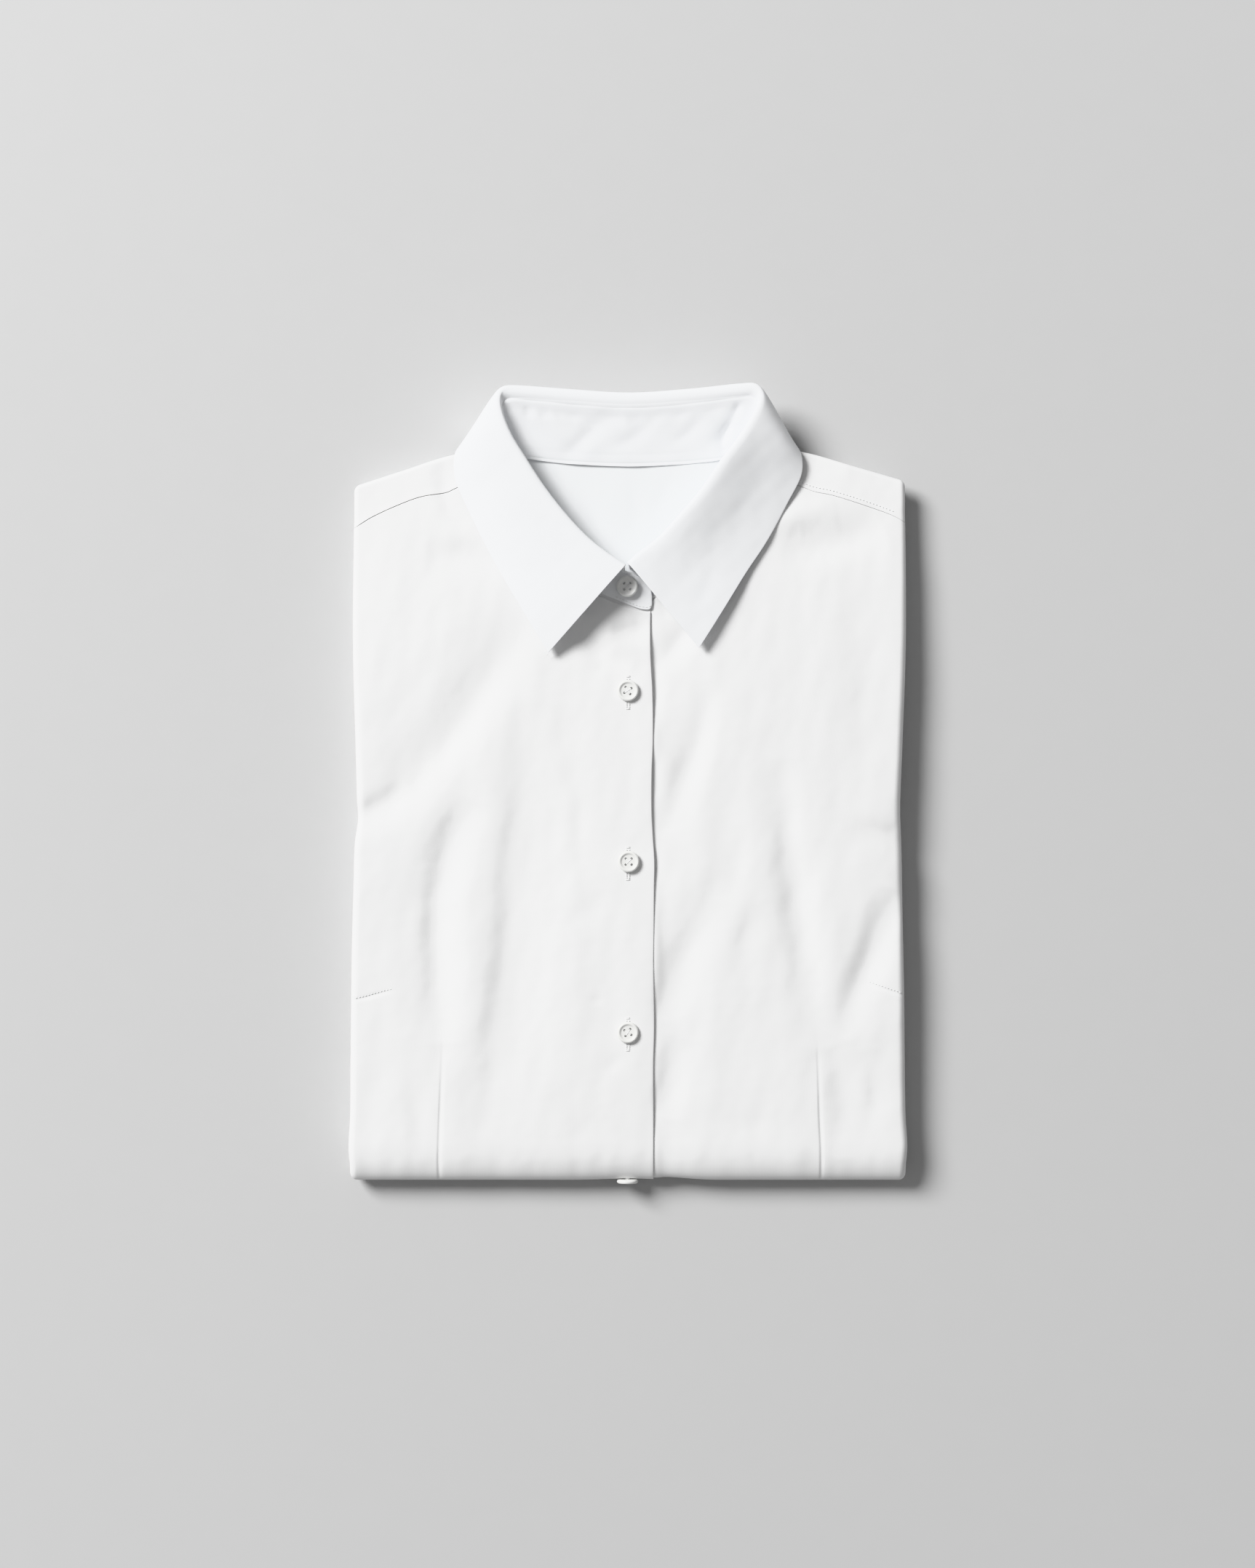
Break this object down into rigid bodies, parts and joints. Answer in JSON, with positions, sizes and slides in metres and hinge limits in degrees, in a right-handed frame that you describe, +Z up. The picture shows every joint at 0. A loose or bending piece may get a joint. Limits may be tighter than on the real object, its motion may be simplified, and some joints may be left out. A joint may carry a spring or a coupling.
{
  "type": "folded women's button-front shirt",
  "caption": "White poplin button-front shirt folded flat into a rectangle, pointed collar turned down and buttoned, open neck showing the inside of the stand and yoke.",
  "frame": {"origin": "on the surface the shirt rests on, under the middle of its outline", "axes": "+Y from the bottom fold towards the collar, +X to the viewer's right with the collar away, +Z up out of the front"},
  "size_m": [0.2962, 0.4227, 0.0352],
  "materials": {
    "poplin": "white cotton poplin, pressed, matte",
    "poplin_collar": "white cotton poplin over interlining, pressed, matte",
    "poplin_inside": "white cotton poplin, inside face, matte",
    "poplin_hidden": "white cotton poplin, folded layers, matte",
    "button": "white polyester resin, polished"
  },
  "bodies": {
    "root": {"core_layers": "poplin_hidden", "front_right": "poplin", "front_left": "poplin", "yoke_right": "poplin", "yoke_left": "poplin", "yoke_inner": "poplin_inside", "collar_stand": "poplin_collar", "collar_leaf": "poplin_collar", "button_stand": "button", "button_1": "button", "button_2": "button", "button_3": "button", "button_4": "button"}
  },
  "joints": []
}
